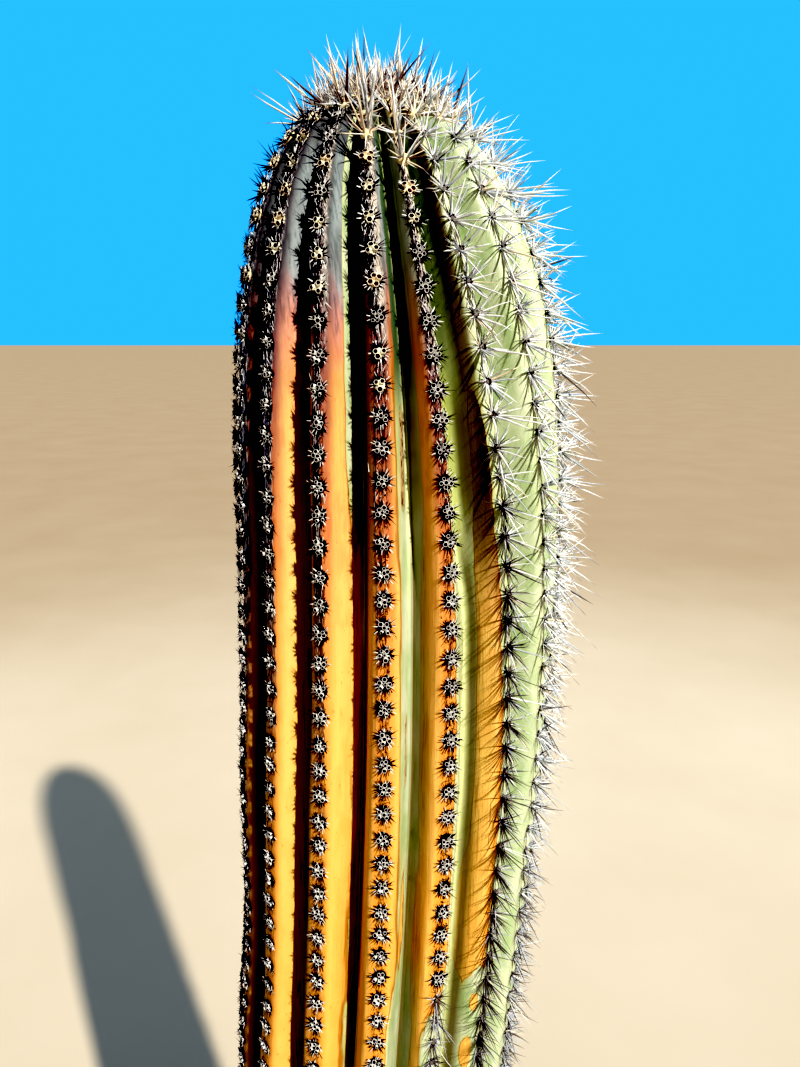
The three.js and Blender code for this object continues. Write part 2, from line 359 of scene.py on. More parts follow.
# how much heat the skin got: above nothing it is scorched
def scorchExposure(rib, z, normals, share):
    heat = math.radians(scorch["middle"])
    flat = unit(normals[..., :2])
    facing = flat[..., 0] * math.sin(heat) - flat[..., 1] * math.cos(heat)
    away = turnFromHeat(rib, z)
    reach = np.interp(away, *zip(*scorch["reachByTurn"]))
    lee = share * np.sign(turnFromMiddle(rib))  # positive on the flank turned away from the heat
    high = 1 + scorch["leeHigher"] * smoothStep(z, *scorch["leeHeights"])
    shelter = np.clip((lee - scorch["leeFrom"]) / (0.5 - scorch["leeFrom"]), 0, 1)
    shelter = scorch["leeShelter"] * high * shelter
    side = np.abs(share)
    shelter = shelter + scorch["bottomShelter"] * smoothStep(side, *scorch["bottomShares"])
    side = side + scorch["edgeWider"] * smoothStep(z, *scorch["edgeHeights"])
    edge = scorch["edgeShelter"] * smoothStep(side, *scorch["edgeShares"])
    edge = edge * smoothStep(away, *scorch["edgeTurns"])
    exposure = facing + reach - shelter - edge * (lee < 0)
    for where, place, height, halfWidth, halfHeight, change in patches:
        near = bell(share, place, halfWidth) * bell(z, height, halfHeight)
        exposure = exposure + (rib == where) * change * near
    return exposure


# What tints the flanks, most of it painted shade and painted light. Each row gives a rib, the amount high up
# and low down, where across the rib it starts and is full, and the heights it changes between. A negative
# amount ends what a row above starts.
tints = {
    # soot on the flanks that faced the heat, and painted shade on flanks that lie in shadow
    "windwardSootAndPaintedShade": (
        (13, 0.60, 0.40, -0.12, -0.25, 1.400, 1.520),
        (14, 0.70, 0.50, -0.12, -0.25, 1.400, 1.520),
        (15, 0.96, 0.92, -0.12, -0.25, 1.400, 1.520),
        (15, 0.80, 0.70, 0.05, 0.26, 1.400, 1.520),
        (16, 0.96, 0.92, -0.12, -0.25, 1.400, 1.520),
        (17, 0.92, 0.85, -0.12, -0.25, 1.400, 1.520),
        (0, 0.75, 0.15, -0.12, -0.25, 1.400, 1.520),
        (2, 0.98, 0.00, -0.08, -0.20, 1.400, 1.520),
    ),
    # painted shade on the flanks beside the grooves
    "paintedGrooveShade": (
        (0, 0.00, 0.45, 0.42, 0.48, 1.400, 1.520),
        (1, 0.70, 0.55, -0.26, -0.37, 1.400, 1.520),
        (2, 0.95, 0.00, -0.15, -0.20, 1.555, 1.590),  # high up
        (2, -0.95, 0.00, -0.29, -0.33, 1.555, 1.590),
        (2, 0.95, 0.00, -0.18, -0.26, 1.440, 1.510),  # at middle height
        (2, -0.95, 0.00, -0.335, -0.375, 1.440, 1.510),
        (2, -0.95, 0.00, -0.18, -0.26, 1.555, 1.590),
        (2, 0.95, 0.00, -0.335, -0.375, 1.555, 1.590),
        (2, 0.00, 0.85, -0.325, -0.370, 1.440, 1.500),  # low down
        (2, 0.00, -0.85, -0.420, -0.450, 1.440, 1.500),
    ),
    # painted light: pale green laid where the flanks get little light
    "paintedPaleLight": (
        (0, 0.90, 0.00, 0.36, 0.42, 1.430, 1.500),
        (1, 1.00, 0.20, 0.10, 0.26, 1.440, 1.500),
        (1, 0.30, 0.00, -0.08, -0.16, 1.585, 1.625),
        (1, -1.00, 0.00, 0.10, 0.26, 1.560, 1.600),
        (2, 1.00, 0.00, -0.345, -0.385, 1.440, 1.500),
        (2, 0.00, 0.70, -0.420, -0.450, 1.440, 1.500),
        (2, -1.00, 0.00, -0.345, -0.385, 1.560, 1.600),
        (2, 0.80, 0.00, -0.29, -0.33, 1.560, 1.600),
    ),
    # painted shade: darker green where the flanks lie in shade
    "paintedShadeGreen": (
        (0, 0.95, 0.00, 0.10, 0.22, 1.550, 1.600),
        (1, 0.88, 0.00, 0.10, 0.22, 1.560, 1.640),
        (2, 0.85, 0.00, -0.26, -0.31, 1.560, 1.600),
    ),
    "ashCrest": (
        (17, 0.45, 0.45, 0.03, 0.08, 1.560, 1.600),
        (0, 1.00, 1.00, -0.01, 0.05, 1.560, 1.600),
        (1, 1.00, 1.00, -0.05, 0.02, 1.560, 1.600),
    ),
    # painted shade: olive low in the groove bottoms and on the edge of rib 2's crest
    "paintedOliveShade": (
        *((rib, 0.0, 0.45, -0.32, -0.48, 1.360, 1.500) for rib in range(stem["ribCount"])),
        *((rib, 0.0, 0.45, 0.32, 0.48, 1.360, 1.500) for rib in range(1, stem["ribCount"])),
        (2, 0.20, 0.00, -0.10, -0.18, 1.530, 1.570),
    ),
}


def tinted(table, rib, share, z):
    total = np.zeros(np.broadcast(rib, share, z).shape)
    for where, top, low, first, last, bottom, high in table:
        across = smoothStep(share * np.sign(last), first * np.sign(last), abs(last))
        total = total + (rib == where) * across * between(low, top, smoothStep(z, bottom, high))
    return total


# corky scars: rib, place across it, lowest and highest point, half width as a share of the rib
scars = (
    (0, 0.335, 1.497, 1.566, 0.050),
    (0, 0.360, 1.288, 1.356, 0.022),
    (5, -0.280, 1.180, 1.225, 0.040),
    (9, 0.300, 1.330, 1.420, 0.045),
    (12, 0.250, 0.880, 0.960, 0.050),
)


def scarAt(rib, share, z, fade=0.012):
    total = np.zeros(np.broadcast(rib, share, z).shape)
    for where, place, low, high, width in scars:
        window = smoothStep(z, low - fade, low + fade) * (1 - smoothStep(z, high - fade, high + fade))
        total = total + (rib == where) * window * bell(share, place, width)
    return total


def gridNormals(points):
    across = np.roll(points, -1, axis=1) - np.roll(points, 1, axis=1)
    return unit(np.cross(across, np.gradient(points, axis=0)))


# the skin ring by ring: its points, normals, the values its material reads, and the ring between its parts
def skinGrid():
    split, end = runAtHeight(skin["upperFrom"]), outlineRun[-1] - skin["topGap"]
    lower = np.linspace(0, split, round(split / skin["lowerStep"]) + 1)
    upper = np.linspace(split, end, round((end - split) / skin["upperStep"]) + 1)
    columns = skin["columnsPerRib"]
    rib = np.repeat(np.arange(stem["ribCount"]), columns)[None, :]
    share = np.tile(np.arange(columns) / columns - 0.5, stem["ribCount"])[None, :]
    run = np.concatenate([lower, upper[1:]])[:, None] + 0 * share
    z, share = heightAtRun(run), share + 0 * run
    points = skinPoint(rib, share, z, run)
    normals = gridNormals(points)
    exposure = scorchExposure(rib, z, normals, share)
    low, high = relief["sunkenFrom"]
    step = relief["rim"] * bell(exposure, low, relief["rimWidth"])
    step = step - relief["sunken"] * smoothStep(exposure, low, high)
    step = step * smoothStep(stem["domeTop"] - z, *relief["topFade"]) * smoothStep(z, 0, relief["footFade"])
    points = points + normals * step[..., None]
    values = {"acrossRib": share, "scorchExposure": exposure, "corkyScar": scarAt(rib, share, z)}
    for name, table in tints.items():
        values[name] = tinted(table, rib, share, z)
    return points, gridNormals(points), values, len(lower) - 1


# rings of the skin, closed by a flat cut at the ground or by the top under the crown
def skinPart(name, grid, first, last, isFoot, material):
    points, normals, everyValue, _ = grid
    rows, columns = last - first + 1, points.shape[1]
    index = np.arange(rows * columns).reshape(rows, columns)
    beside = np.roll(index, -1, axis=1)
    quads = np.stack([index[:-1], beside[:-1], beside[1:], index[1:]], -1).reshape(-1, 4)
    kept, end, height = slice(first, last + 1), 0 if isFoot else -1, 0.0 if isFoot else stem["domeTop"]
    ring = [beside[end], index[end]] if isFoot else [index[end], beside[end]]
    triangles = np.stack([np.full(columns, rows * columns), *ring], -1)
    points = np.concatenate([points[kept].reshape(-1, 3), [[axisAt(height), 0, height]]])
    normals = np.concatenate([normals[kept].reshape(-1, 3), [[0, 0, -1.0 if isFoot else 1.0]]])
    mesh = meshFromArrays(name, points, quads, triangles)
    mesh.normals_split_custom_set_from_vertices(normals.astype(np.float32))
    for label, value in everyValue.items():
        value = value[kept].ravel()
        value = np.append(value, value[end]).astype(np.float32)
        mesh.attributes.new(label, "FLOAT", "POINT").data.foreach_set("value", value)
    return addPiece(name, mesh, "skin", ["stem"], material)


# node helpers: a node with its settings and its inputs, each a plain value or another node's socket
def addNode(tree, kind, settings=None, **inputs):
    node = tree.nodes.new(kind)
    for key, value in (settings or {}).items():
        setattr(node, key, value)
    for key, value in inputs.items():
        isPlace = key[0] == "i" and key[1:].isdigit()
        socket = node.inputs[int(key[1:]) if isPlace else key.replace("_", " ")]
        if isinstance(value, bpy.types.NodeSocket):
            tree.links.new(value, socket)
        else:
            socket.default_value = value
    return node


def maths(tree, operation, a, b=0.0, c=0.0):
    return addNode(tree, "ShaderNodeMath", {"operation": operation}, i0=a, i1=b, i2=c).outputs[0]


def product(tree, *factors):
    result = factors[0]
    for factor in factors[1:]:
        result = maths(tree, "MULTIPLY", result, factor)
    return result


def ranged(tree, value, low, high, toLow=0.0, toHigh=1.0):
    inputs = {"i0": value, "i1": low, "i2": high, "i3": toLow, "i4": toHigh}
    return addNode(tree, "ShaderNodeMapRange", {"interpolation_type": "SMOOTHSTEP"}, **inputs).outputs[0]


def mixed(tree, share, a, b):
    return addNode(tree, "ShaderNodeMix", {"data_type": "RGBA"}, i0=share, i6=a, i7=b).outputs[2]


# a colour as it looks on screen, given 0 to 255
def tint(r, g, b):
    linear = [((v / 255 + 0.055) / 1.055) ** 2.4 if v > 10 else v / 255 / 12.92 for v in (r, g, b)]
    return (*linear, 1.0)


def noise(tree, places, scale, detail=3.0, roughness=0.55):
    inputs = {"Vector": places, "Scale": scale, "Detail": detail, "Roughness": roughness}
    return addNode(tree, "ShaderNodeTexNoise", None, **inputs).outputs[0]


def stretched(tree, places, across, along):
    scale = (across, across, along)
    return addNode(tree, "ShaderNodeMapping", {"vector_type": "POINT"}, Vector=places, Scale=scale).outputs[0]


grainLayers = {"fine": (1.0, 4.0, 0.6), "coarse": (0.25, 2.0)}  # scale, detail and roughness
grainShares = {"fine": 0.5, "coarse": 0.5}


# Shared effect: fine grain that runs up the plant, as a mask and as a height
def makeGrainGroup():
    tree = bpy.data.node_groups.new("risingGrain", "ShaderNodeTree")
    face = tree.interface
    face.new_socket("Places", in_out="INPUT", socket_type="NodeSocketVector")
    for name, default in (("Across", 300.0), ("Along", 40.0), ("Depth", 0.0003)):
        face.new_socket(name, in_out="INPUT", socket_type="NodeSocketFloat").default_value = default
    for name in ("Grain", "Height"):
        face.new_socket(name, in_out="OUTPUT", socket_type="NodeSocketFloat")
    given, end = tree.nodes.new("NodeGroupInput").outputs, tree.nodes.new("NodeGroupOutput")
    across, along = given["Across"], given["Along"]
    scale = addNode(tree, "ShaderNodeCombineXYZ", None, X=across, Y=across, Z=along).outputs[0]
    scaled = addNode(tree, "ShaderNodeVectorMath", {"operation": "MULTIPLY"}, i0=given["Places"], i1=scale)
    fine, coarse = (noise(tree, scaled.outputs[0], *grainLayers[name]) for name in ("fine", "coarse"))
    fine = product(tree, fine, grainShares["fine"])
    grain = maths(tree, "MULTIPLY_ADD", coarse, grainShares["coarse"], fine)
    tree.links.new(grain, end.inputs["Grain"])
    tree.links.new(product(tree, grain, given["Depth"]), end.inputs["Height"])
    return tree


grainGroup = makeGrainGroup()


def grainIn(tree, places, across, along, depth):
    settings, inputs = {"node_tree": grainGroup}, {"Across": across, "Along": along, "Depth": depth}
    node = addNode(tree, "ShaderNodeGroup", settings, Places=places, **inputs)
    return node.outputs["Grain"], node.outputs["Height"]


def newMaterial(name, **values):
    material = bpy.data.materials.new(name)
    material.use_nodes = True
    tree = material.node_tree
    surface = tree.nodes["Principled BSDF"]
    for key, value in values.items():
        surface.inputs[key.replace("_", " ")].default_value = value
    places = tree.nodes.new("ShaderNodeTexCoord").outputs["Object"]
    return material, tree, surface, places


def bumped(tree, surface, height, strength):
    node = addNode(tree, "ShaderNodeBump", None, Strength=strength, Distance=1.0, Height=height)
    tree.links.new(node.outputs["Normal"], surface.inputs["Normal"])


skinColours = {
    "soundLight": tint(202, 209, 183),
    "soundDark": tint(172, 190, 148),
    "soundCrest": tint(204, 208, 172),
    "soundMargin": tint(200, 190, 120),
    "foot": tint(150, 130, 95),
    "fissure": tint(70, 26, 14),
    "marginLine": tint(140, 84, 30),
    "wrinkle": tint(120, 76, 30),
    "darkCrest": tint(54, 36, 32),
    "charGrey": tint(98, 100, 102),
    "ashGrey": tint(214, 204, 190),
    "ash": tint(206, 206, 202),
    "soot": tint(22, 20, 20),
    # soot, and painted shade on flanks in shadow
    "sootAndPaintedShadeBrown": tint(38, 36, 28),
    # painted shade along the groove bottoms
    "paintedGrooveBottomShade": tint(96, 74, 30),
    # painted shade beside the grooves
    "paintedGrooveShade": tint(104, 90, 60),
    # painted light
    "paintedPaleLight": tint(224, 228, 184),
    # painted shade
    "paintedShadeOlive": tint(160, 148, 62),
    # painted shade
    "paintedShadeGreen": tint(86, 109, 80),
    "cork": tint(196, 170, 128),
    "corkCrack": tint(96, 58, 34),
    "speck": tint(120, 58, 26),
    "flankByHeight": (
        (0.00, tint(176, 144, 96)),
        (0.50, tint(214, 174, 108)),
        (1.10, tint(228, 186, 112)),
        (1.34, tint(230, 194, 124)),
        (1.46, tint(230, 192, 128)),
        (1.54, tint(230, 186, 122)),
        (1.585, tint(228, 174, 118)),
        (1.612, tint(216, 160, 132)),
        (1.636, tint(184, 146, 140)),
        (1.658, tint(158, 164, 164)),
        (1.700, tint(150, 161, 161)),
        (1.768, tint(84, 84, 80)),
    ),
    "crestByHeight": (
        (0.00, tint(160, 122, 78)),
        (0.60, tint(214, 158, 88)),
        (1.20, tint(228, 170, 94)),
        (1.40, tint(222, 160, 96)),
        (1.48, tint(198, 136, 94)),
        (1.54, tint(164, 112, 90)),
        (1.61, tint(128, 88, 82)),
        (1.64, tint(62, 54, 54)),
        (1.768, tint(34, 31, 31)),
    ),
}


def heightRamp(tree, height, stops):
    ramp = addNode(tree, "ShaderNodeValToRGB", None, Fac=maths(tree, "DIVIDE", height, stem["domeTop"]))
    elements = ramp.color_ramp.elements
    while len(elements) < len(stops):
        elements.new(0.5)
    for place in range(len(stops) - 1, -1, -1):
        elements[place].position = stops[place][0] / stem["domeTop"]
    for element, (_, colour) in zip(elements, stops):
        element.color = colour
    return ramp.outputs["Color"]



# the skin's noises: how many to the metre across and along, their detail and roughness
skinNoises = {
    "blotch": (60.0, 9.0, 4.0, 0.55),
    "cloud": (70.0, 34.0, 3.0, 0.55),
    "streak": (420.0, 22.0, 4.0, 0.60),
    "thread": (1500.0, 80.0, 2.0, 0.50),
    "speckle": (380.0, 190.0, 1.0, 0.55),
}

# each pair says where something starts and is full on what drives it, a third value what shows before that
skinFinish = {
    "grain": (700.0, 260.0, 0.00025),  # to the metre across and along, and its depth
    "stir": {  # how far the noises shift what the marks depend on
        "edge": {"blotch": 0.55},
        "lifted": {"blotch": 0.10, "streak": 0.03},
        "ridge": {"streak": 0.05, "cloud": 0.10},
        "facing": {"blotch": 0.20},
        "lean": {"streak": 0.16},
        "bottom": {"cloud": 0.04},
        "scar": {"streak": 0.90},
        "foot": {"blotch": 0.50},
    },
    "scorched": (-0.03, 0.03),
    "crest": (0.22, 0.10),
    "mottle": (0.42, 0.62),  # the crest's tone in clouds on the flanks
    "mottleAmount": 0.30,
    "facing": (1.34, 1.50),  # what faced the heat is charred below the shoulder too
    "facingHeights": (1.26, 1.48, 0.10),
    "band": (0.17, 0.11),  # the charred band on a crest
    "bandChange": (-0.11, 0.05),  # high up it is wider where the crest is ash-grey, else narrower
    "bandHeights": (1.50, 1.62),
    "bandAmount": 0.92,
    "lean": (0.00, 0.10),  # from the dark left to the grey right of a charred crest
    "crack": (0.46, 0.40),
    "crackAmount": (0.25, 0.30),
    "soundCloud": (0.30, 0.70),
    "cork": (0.42, 0.60),
    "corkCrack": (0.48, 0.56),
    "foot": (0.30, 0.05, 0.0, 0.9),
    "roughness": 0.40,
    "charRoughness": 0.25,  # what char, cork and grain add to it
    "corkRoughness": 0.30,
    "grainRoughness": 0.12,
    "streakRelief": 0.0002,
    "scorchRelief": 0.0006,
    "charRelief": 0.0012,
    "bump": 0.6,
}

# marks in the order they are laid: the colour, what drives it with a pair as above, and how much it covers
burntMarks = (
    ("fissure", {"side": (0.11, 0.05), "streak": (0.50, 0.58), "height": (1.20, 1.46, 0.3)}, 0.85),
    ("soot", {"charred": None, "streak": (0.50, 0.62), "side": (0.36, 0.16)}, 0.45),
    ("ash", {"wide": (0.16, 0.09), "facing": None, "thread": (0.565, 0.60)}, 0.90),
    ("wrinkle", {"side": (0.28, 0.36), "streak": (0.54, 0.60)}, 0.50),
    ("marginLine", {"edge": (0.12, 0.04), "uncharred": None}, 0.65),
    ("speck", {"speckle": (0.71, 0.75)}, 0.22),
    # soot, and painted shade on flanks in shadow
    ("sootAndPaintedShadeBrown", {"windwardSootAndPaintedShade": None}, 1.0),
)
soundMarks = (
    ("soundCrest", {"ridge": (0.20, 0.04)}, 0.60),
    ("soundMargin", {"edge": (-0.30, -0.02)}, 0.50),
    # painted shade
    ("paintedShadeGreen", {"paintedShadeGreen": None}, 1.0),
)
# painted shade and painted light, laid over sound and scorched skin alike
paintedShadeAndLightMarks = (
    # painted shade
    ("paintedShadeOlive", {"paintedOliveShade": None}, 1.0),
    # painted shade along the groove bottoms
    ("paintedGrooveBottomShade", {"bottom": (0.44, 0.495)}, 0.62),
    # painted light
    ("paintedPaleLight", {"paintedPaleLight": None}, 1.0),
    # painted shade beside the grooves
    ("paintedGrooveShade", {"paintedGrooveShade": None}, 1.0),
)


def makeSkin():
    material, tree, surface, places = newMaterial("scorchedSkin")
    finish, given = skinFinish, {}  # given holds what drives the marks, by name
    for name in ("acrossRib", "scorchExposure", "corkyScar", *tints):
        given[name] = addNode(tree, "ShaderNodeAttribute", {"attribute_name": name}).outputs["Fac"]
    for name, (across, along, detail, roughness) in skinNoises.items():
        given[name] = noise(tree, stretched(tree, places, across, along), 1.0, detail, roughness)
    grain, grainHeight = grainIn(tree, places, *finish["grain"])

    def stirred(value, what):  # adds noises that are centred on nothing
        for name, amount in finish["stir"][what].items():
            value = maths(tree, "MULTIPLY_ADD", maths(tree, "SUBTRACT", given[name], 0.5), amount, value)
        return value

    def shown(value, what):
        return ranged(tree, value, *finish[what])

    def laid(under, marks):
        for colour, drives, cover in marks:
            for name, pair in drives.items():
                cover = product(tree, cover, ranged(tree, given[name], *pair) if pair else given[name])
            under = mixed(tree, cover, under, skinColours[colour])
        return under

    side = maths(tree, "ABSOLUTE", given["acrossRib"])
    height = addNode(tree, "ShaderNodeSeparateXYZ", None, Vector=places).outputs["Z"]
    edge = stirred(given["scorchExposure"], "edge")
    lifted, ridge = stirred(height, "lifted"), stirred(side, "ridge")
    charred = ranged(tree, lifted, scorch["charHeight"], scorch["charHeight"] + scorch["charFade"])
    facing = shown(stirred(given["scorchExposure"], "facing"), "facing")
    facing = maths(tree, "MAXIMUM", product(tree, facing, shown(lifted, "facingHeights")), charred)
    change = maths(tree, "MULTIPLY_ADD", given["ashCrest"], *finish["bandChange"])
    wide = maths(tree, "MULTIPLY_ADD", shown(lifted, "bandHeights"), change, ridge)
    band = product(tree, shown(wide, "band"), facing)
    given.update(side=side, height=height, edge=edge, ridge=ridge, wide=wide, charred=charred, facing=facing)
    given["uncharred"] = maths(tree, "SUBTRACT", 1.0, charred)
    given["bottom"] = stirred(side, "bottom")

    dark = skinColours["darkCrest"]
    char = mixed(tree, shown(stirred(given["acrossRib"], "lean"), "lean"), dark, skinColours["charGrey"])
    char = mixed(tree, given["ashCrest"], char, skinColours["ashGrey"])
    crack = maths(tree, "MULTIPLY_ADD", given["ashCrest"], *finish["crackAmount"])
    char = mixed(tree, product(tree, shown(given["thread"], "crack"), crack), char, dark)
    flank = heightRamp(tree, lifted, skinColours["flankByHeight"])
    crest = heightRamp(tree, lifted, skinColours["crestByHeight"])
    burnt = mixed(tree, shown(ridge, "crest"), flank, crest)
    burnt = mixed(tree, product(tree, shown(given["cloud"], "mottle"), finish["mottleAmount"]), burnt, crest)
    burnt = mixed(tree, product(tree, band, finish["bandAmount"]), burnt, char)
    burnt = laid(burnt, burntMarks)

    cloudy = shown(given["cloud"], "soundCloud")
    sound = laid(mixed(tree, cloudy, skinColours["soundDark"], skinColours["soundLight"]), soundMarks)
    scorched = shown(edge, "scorched")
    # painted shade and painted light go over both the sound and the scorched skin
    colour = laid(mixed(tree, scorched, sound, burnt), paintedShadeAndLightMarks)
    corky = shown(stirred(given["corkyScar"], "scar"), "cork")
    cork = mixed(tree, shown(grain, "corkCrack"), skinColours["cork"], skinColours["corkCrack"])
    colour = mixed(tree, corky, colour, cork)
    colour = mixed(tree, shown(stirred(height, "foot"), "foot"), colour, skinColours["foot"])
    tree.links.new(colour, surface.inputs["Base Color"])

    dull = product(tree, scorched, finish["charRoughness"])
    dull = maths(tree, "MULTIPLY_ADD", charred, dull, finish["roughness"])
    dull = maths(tree, "MULTIPLY_ADD", corky, finish["corkRoughness"], dull)
    dull = maths(tree, "MULTIPLY_ADD", grain, finish["grainRoughness"], dull)
    tree.links.new(dull, surface.inputs["Roughness"])
    rough = maths(tree, "MULTIPLY_ADD", scorched, finish["scorchRelief"], finish["streakRelief"])
    rough = maths(tree, "MULTIPLY_ADD", maths(tree, "MAXIMUM", band, corky), finish["charRelief"], rough)
    rough = maths(tree, "MULTIPLY_ADD", given["streak"], rough, grainHeight)
    bumped(tree, surface, rough, finish["bump"])
    return material


skinMaterial = makeSkin()
grid = skinGrid()
lastRow, splitRow = len(grid[0]) - 1, grid[-1]
skinPart("stemSkinLower", grid, 0, splitRow, True, skinMaterial)
skinPart("stemSkinUpper", grid, splitRow, lastRow, False, skinMaterial)
print("skin made")


smallFinish = {"depth": 0.0004, "bump": 0.4, "shine": 0.3}  # the grain's relief and its share in the gloss


# Plain tinted material for small joined things: even colour, grain only in its gloss and relief
def makeSmall(name, colour, roughness, across, along):
    material, tree, surface, places = newMaterial(name, Base_Color=colour)
    grain, height = grainIn(tree, places, across, along, smallFinish["depth"])
    dull = maths(tree, "MULTIPLY_ADD", grain, smallFinish["shine"], roughness - smallFinish["shine"] / 2)
    tree.links.new(dull, surface.inputs["Roughness"])
    bumped(tree, surface, height, smallFinish["bump"])
    return material


# colours and roughness of the small things, by the grain that they share, to the metre across and along
smallTones = {
    (900.0, 300.0): {
        "charStub": (26, 22, 21, 0.75),
        "ashStub": (212, 213, 209, 0.85),
        "creamStub": (230, 221, 198, 0.85),
        "whiteStub": (232, 229, 210, 0.85),
        "hollow": (34, 20, 14, 0.90),
        "rustHollow": (66, 30, 18, 0.90),
        "spineBase": (44, 38, 38, 0.70),
    },
    (900.0, 120.0): {
        "spineWhite": (225, 227, 227, 0.50),
        "spineGrey": (184, 190, 197, 0.55),
        "spineTan": (226, 212, 190, 0.55),
        "spineDark": (96, 90, 86, 0.60),
        "spineBrown": (110, 86, 74, 0.60),
    },
    (1400.0, 1400.0): {
        "charFelt": (50, 40, 34, 0.95),
        "creamFelt": (220, 208, 172, 0.90),
        "greyFelt": (112, 104, 96, 0.90),
    },
}

small = {}
for grain, tones in smallTones.items():
    for name, (red, green, blue, roughness) in tones.items():
        small[name] = makeSmall(name, tint(red, green, blue), roughness, *grain)

cushionRow = {
    "endGap": 0.012,  # clear of the ground and of the top
    "jitter": (0.93, 1.07),
    "pitchByWay": ((0.02, 0.42), (0.09, 1.0)),  # closer near the top: the way left to it, share of the pitch
    # how far down the crown's spines reach, by degrees from the heat
    "crownReach": ((0.0, 0.052), (40.0, 0.066), (60.0, 0.088), (80.0, 0.120), (100.0, 0.075)),
    "aside": 0.02,  # a place beside the crest and one above, which give a cushion's frame
    "above": 0.002,
}


# Every cushion's place and frame: its point on the crest, outward, up along the rib and to its right
def cushionPlaces():
    rng = np.random.default_rng(11)
    ribs, runs = [], []
    end, gap = outlineRun[-1], cushionRow["endGap"]
    for rib in range(stem["ribCount"]):
        run = gap + relief["cushionPitch"] * rng.uniform(0, 1)
        while run < end - gap:
            ribs.append(rib)
            runs.append(run)
            closer = np.interp(end - run, *zip(*cushionRow["pitchByWay"]))
            run += relief["cushionPitch"] * closer * rng.uniform(*cushionRow["jitter"])
    ribs, runs = np.array(ribs, float), np.array(runs)

    def at(share, step):
        return skinPoint(ribs, np.full(len(ribs), float(share)), heightAtRun(runs + step), runs + step)

    aside, above = cushionRow["aside"], cushionRow["above"]
    up = unit(at(0, above) - at(0, -above))
    right = at(aside, 0) - at(-aside, 0)
    right = unit(right - up * np.sum(right * up, axis=1, keepdims=True))
    z = heightAtRun(runs)
    away = turnFromHeat(ribs, z)
    isScorched = away < scorch["scorchedTurn"]
    isCrown = end - runs < np.interp(away, *zip(*cushionRow["crownReach"]))
    axes = {"point": at(0, 0), "out": np.cross(right, up), "up": up, "right": right}
    return {"rib": ribs, "z": z, "scorched": isScorched, "crown": isCrown, **axes}


cushions = cushionPlaces()
print("cushions", len(cushions["z"]), "scorched", int(cushions["scorched"].sum()))


# Directions in a cushion's frame: lean from straight out, turned from up towards the right
def aimed(which, lean, turn):
    lean, turn = np.radians(lean), np.radians(turn)
    out, up, right = (cushions[key][which] for key in ("out", "up", "right"))
    flat = up * np.cos(turn)[:, None] + right * np.sin(turn)[:, None]
    return out * np.cos(lean)[:, None] + flat * np.sin(lean)[:, None]


# profiles from root to tip: place along, width, and 1 for what takes the second material
shapes = {
    "spine": ((0.0, 1.0, 1), (0.07, 0.98, 0), (0.64, 0.62, 0), (1.0, 0.0, 0)),
    "shortSpine": ((0.0, 1.05, 1), (0.11, 1.0, 0), (1.0, 0.0, 0)),
    "stub": ((0.0, 1.0, 1), (0.22, 0.95, 0), (0.78, 0.72, 0), (1.0, 0.0, 0)),
    "prick": ((0.0, 1.0, 0), (0.55, 0.55, 0), (1.0, 0.0, 0)),
    "cup": ((0.0, 1.05, 0), (1.0, 0.95, 0), (0.97, 0.76, 1), (0.66, 0.68, 1), (0.64, 0.0, 1)),
    "pad": ((-0.35, 1.0, 0), (0.20, 1.0, 0), (0.75, 0.66, 0), (1.0, 0.0, 0)),
}


# Many small turned bodies as one mesh, each along its own way; uneven makes their rings irregular
def turnedMesh(name, shape, roots, ways, lengths, radii, bends, sides, uneven=1, smooth=True):
    count, profile = len(roots), shapes[shape]
    isSteep = np.abs(ways[:, 2:3]) >= 0.9
    first = unit(np.cross(ways, np.where(isSteep, [[1.0, 0.0, 0.0]], [[0.0, 0.0, 1.0]])))
    second = np.cross(ways, first)
    angles = (np.arange(sides) / sides * 2 * np.pi)[None, :, None]
    circle = np.cos(angles) * first[:, None, :] + np.sin(angles) * second[:, None, :]
    rings = []
    for along, wide, _ in profile:
        middle = roots + ways * (lengths * along)[:, None] + bends * (lengths * along * abs(along))[:, None]
        reach = np.broadcast_to(radii[:, None] * wide * uneven, (count, sides))
        rings.append(middle[:, None, :] + circle * reach[..., None] if wide else middle[:, None, :])
    points = np.concatenate(rings, 1)
    size = points.shape[1]
    i, j = np.arange(sides), (np.arange(sides) + 1) % sides
    quads, slots = [], []
    for ring in range(len(profile) - 2):
        low, high = ring * sides, (ring + 1) * sides
        quads.append(np.stack([low + j, low + i, high + i, high + j], -1))
        slots += [profile[ring][2]] * sides
    top = (len(profile) - 2) * sides
    cap = np.stack([top + j, top + i, np.full(sides, size - 1)], -1)
    offset = np.arange(count)[:, None, None] * size
    quads = (np.concatenate(quads)[None] + offset).reshape(-1, 4)
    triangles = (cap[None] + offset).reshape(-1, 3)
    slots = np.concatenate([np.tile(slots, count), np.full(count * sides, profile[-2][2])])
    return meshFromArrays(name, points.reshape(-1, 3), quads, triangles, slots, smooth)


# one piece of those bodies that are kept; row holds a slot name and the nodes it hides, tones its materials
def addTurned(name, shape, bodies, row, tones, sides=3, kept=slice(None)):
    mesh = turnedMesh(name, shape, *(values[kept] for values in bodies), sides)
    return addPiece(name, mesh, *row, *(small[tone] for tone in tones))


def sway(rng, count, size):
    return rng.normal(0, size, (count, 3))


allowed = {"share": 0.03, "proud": 0.008, "ground": 0.002, "shortest": 0.002}


